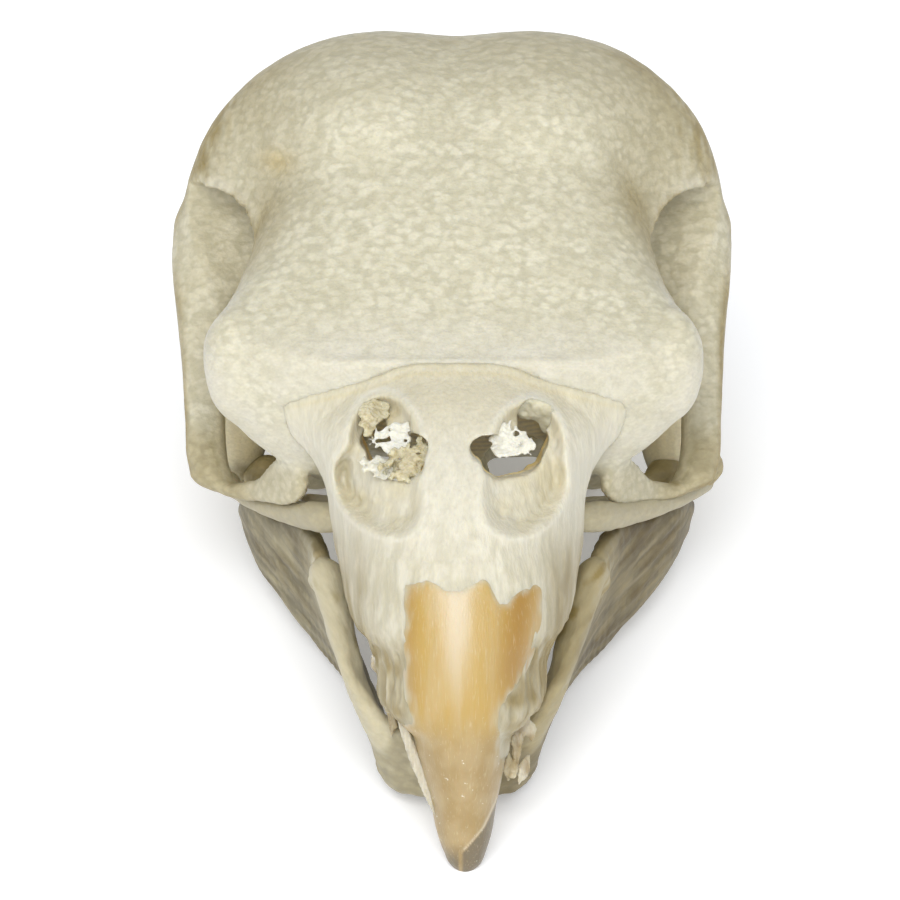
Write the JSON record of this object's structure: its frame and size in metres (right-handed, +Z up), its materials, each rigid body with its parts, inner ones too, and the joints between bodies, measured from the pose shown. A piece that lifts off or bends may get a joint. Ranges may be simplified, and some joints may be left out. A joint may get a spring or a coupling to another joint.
{
  "type": "small parrot skull",
  "caption": "Still, life-size skull of a small parrot: domed braincase, ringed eye sockets, open nostrils, hooked horn-tipped bill and closed lower jaw.",
  "frame": {"origin": "centre of the bounding box's base, on the floor that the bill tip and the back of the base rest on", "axes": "+Z up as the skull lies, -Y the way the bill points, +X the bird's left"},
  "size_m": [0.0166, 0.0268, 0.0148],
  "materials": {
    "bone": "dry, faintly mottled bone, semi-matt",
    "pale_bone": "pale, dense bone, semi-matt",
    "jaw_bone": "greenish grey, streaked bone, semi-matt",
    "horn": "translucent tan horn, satin, flaked at its edges"
  },
  "bodies": {
    "root": {"cranium": "bone", "upper_bill_bone": "pale_bone", "bill_sheath": "horn", "mandible": "jaw_bone", "jugal_bar_left": "jaw_bone", "pterygoid_left": "bone", "palatine_left": "bone", "quadrate_left": "bone", "nostril_flake_left": "pale_bone", "jugal_bar_right": "jaw_bone", "pterygoid_right": "bone", "palatine_right": "bone", "quadrate_right": "bone", "nostril_flake_right": "pale_bone"}
  },
  "joints": []
}
